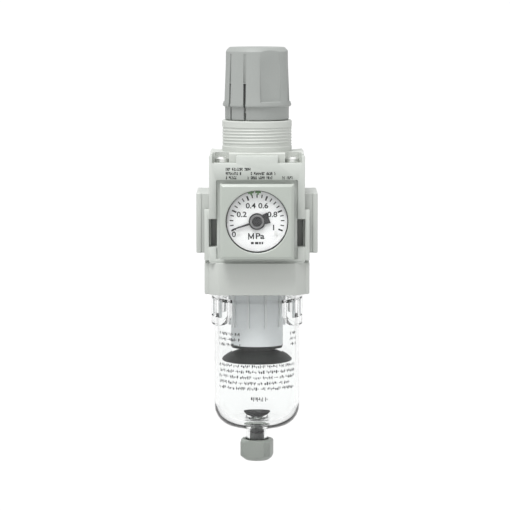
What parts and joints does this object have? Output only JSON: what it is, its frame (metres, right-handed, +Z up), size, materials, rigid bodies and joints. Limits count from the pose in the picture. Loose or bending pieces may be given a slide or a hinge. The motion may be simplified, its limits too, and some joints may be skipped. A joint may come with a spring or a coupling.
{
  "type": "modular filter regulator with embedded gauge",
  "caption": "Modular pneumatic filter regulator with a push-lock adjusting knob, embedded square pressure gauge, clear filter bowl and manual drain.",
  "frame": {"origin": "on the unit's vertical axis, at the panel seat: the top face of the bonnet's flange, where the threaded panel-mounting neck starts", "axes": "+Z up along the knob and bowl axis, gauge facing -Y, inlet port opening towards -X and outlet port towards +X"},
  "size_m": [0.0484, 0.0486, 0.1676],
  "materials": {
    "cast_body": "satin light warm grey paint on a zinc or aluminium die casting",
    "cover_plastic": "fine-textured light grey moulding",
    "bonnet_plastic": "fine-textured light grey moulding",
    "knob_plastic": "medium grey moulding",
    "zinc_steel": "bright zinc-plated steel",
    "spring_steel": "drawn spring wire",
    "brass": "turned brass",
    "washer_plastic": "low-friction washer plastic",
    "rubber_black": "black nitrile rubber",
    "diaphragm_rubber": "black fabric-backed nitrile rubber",
    "guide_plastic": "white acetal",
    "deflector_plastic": "light grey acetal",
    "element_fibre": "bonded white fibre",
    "baffle_plastic": "black acetal",
    "bowl_clear": "clear polycarbonate",
    "drain_plastic": "medium grey moulding",
    "drain_dark": "dark moulding",
    "bezel_plastic": "satin grey moulding",
    "lens_clear": "clear moulded window",
    "case_plastic": "grey moulding",
    "dial_face": "white printed aluminium dial",
    "pointer_black": "black lacquered aluminium",
    "hand_green": "green lacquered metal"
  },
  "bodies": {
    "casing": {"body": "cast_body", "front_cover": "cover_plastic", "rear_cover": "cover_plastic", "bonnet": "bonnet_plastic", "bonnet_screws": "zinc_steel", "thrust_washer": "washer_plastic", "regulating_spring": "spring_steel", "diaphragm": "diaphragm_rubber", "valve_seat": "brass", "valve_spring": "spring_steel", "valve_guide": "guide_plastic", "deflector": "deflector_plastic", "filter_element": "element_fibre", "element_gasket": "rubber_black", "element_cap": "guide_plastic", "baffle": "baffle_plastic", "rear_plug": "zinc_steel", "rear_plug_o_ring": "rubber_black", "gauge_bezel": "bezel_plastic", "gauge_lens": "lens_clear", "lens_gasket": "rubber_black", "gauge_case": "case_plastic", "gauge_screws": "zinc_steel", "gauge_dial": "dial_face", "dial_screws": "zinc_steel", "zero_stop_pin": "zinc_steel", "bourdon_tube": "brass", "gauge_socket": "brass", "gauge_o_ring": "rubber_black", "movement_front_plate": "brass", "movement_back_plate": "brass", "plate_pillars": "brass", "hairspring": "brass"},
    "screw_train": {"adjusting_screw": "zinc_steel", "screw_clip": "spring_steel"},
    "knob": {"knob": "knob_plastic"},
    "spring_nut": {"spring_nut": "brass"},
    "diaphragm_set": {"diaphragm_plate": "zinc_steel", "diaphragm_retainer": "brass"},
    "valve": {"valve_stem": "brass", "valve_rubber": "rubber_black"},
    "bowl": {"bowl": "bowl_clear", "bowl_o_ring": "rubber_black"},
    "drain_valve": {"drain_stem": "drain_dark", "drain_seal": "rubber_black", "drain_o_ring": "rubber_black"},
    "drain_handle": {"drain_knob": "drain_plastic"},
    "pointer": {"pointer": "pointer_black", "pointer_arbor": "brass"},
    "sector": {"sector_gear": "brass"},
    "link": {"gauge_link": "brass"},
    "low_hand": {"set_hand_low": "hand_green"},
    "high_hand": {"set_hand_high": "hand_green"}
  },
  "joints": [
    {"name": "knob_turn", "type": "hinge", "parent": "casing", "child": "screw_train", "pos_m": [0, 0, 0], "axis": [0, 0, -1], "range_deg": [0, 1800]},
    {"name": "knob_pull", "type": "slide", "parent": "screw_train", "child": "knob", "axis": [0, 0, 1], "range_m": [0, 0.0025]},
    {"name": "nut_travel", "type": "slide", "parent": "casing", "child": "spring_nut", "axis": [0, 0, -1], "range_m": [0, 0.00625], "deforming": ["regulating_spring"]},
    {"name": "diaphragm_lift", "type": "slide", "parent": "casing", "child": "diaphragm_set", "axis": [0, 0, -1], "range_m": [0, 0.0012], "stiffness_N_per_m": 400, "springref_m": -0.001, "deforming": ["diaphragm"]},
    {"name": "valve_lift", "type": "slide", "parent": "casing", "child": "valve", "axis": [0, 0, -1], "range_m": [0, 0.0012], "deforming": ["valve_spring"]},
    {"name": "bowl_twist", "type": "hinge", "parent": "casing", "child": "bowl", "pos_m": [0, 0, -0.0528], "axis": [0, 0, 1], "range_deg": [0, 45]},
    {"name": "drain_lift", "type": "slide", "parent": "bowl", "child": "drain_valve", "axis": [0, 0, 1], "range_m": [0, 0.001]},
    {"name": "drain_turn", "type": "hinge", "parent": "drain_valve", "child": "drain_handle", "pos_m": [0, 0, -0.122], "axis": [0, 0, -1], "range_deg": [0, 180]},
    {"name": "pointer_sweep", "type": "hinge", "parent": "casing", "child": "pointer", "pos_m": [0, -0.0254, -0.0263], "axis": [0, 1, 0], "range_deg": [0, 218], "stiffness_Nm_per_rad": 0.000002, "springref_deg": -28.65},
    {"name": "sector_turn", "type": "hinge", "parent": "casing", "child": "sector", "pos_m": [0, -0.0218, -0.0328], "axis": [0, 1, 0], "range_deg": [-65.4, 0]},
    {"name": "link_turn", "type": "hinge", "parent": "sector", "child": "link", "pos_m": [-0.00094, -0.0236, -0.03409], "axis": [0, 1, 0], "range_deg": [0, 65.4]},
    {"name": "low_hand_set", "type": "hinge", "parent": "casing", "child": "low_hand", "pos_m": [0, -0.0255, -0.0263], "axis": [0, 1, 0], "range_deg": [-90, 90]},
    {"name": "high_hand_set", "type": "hinge", "parent": "casing", "child": "high_hand", "pos_m": [0, -0.0258, -0.0263], "axis": [0, 1, 0], "range_deg": [-90, 90]}
  ],
  "couplings": [
    {"joint": "nut_travel", "follows": "knob_turn", "m_per_rad": 0.00019894},
    {"joint": "valve_lift", "follows": "diaphragm_lift", "ratio": 1},
    {"joint": "drain_lift", "follows": "drain_turn", "m_per_rad": 0.00031831},
    {"joint": "sector_turn", "follows": "pointer_sweep", "ratio": -0.3},
    {"joint": "link_turn", "follows": "pointer_sweep", "ratio": 0.3}
  ]
}
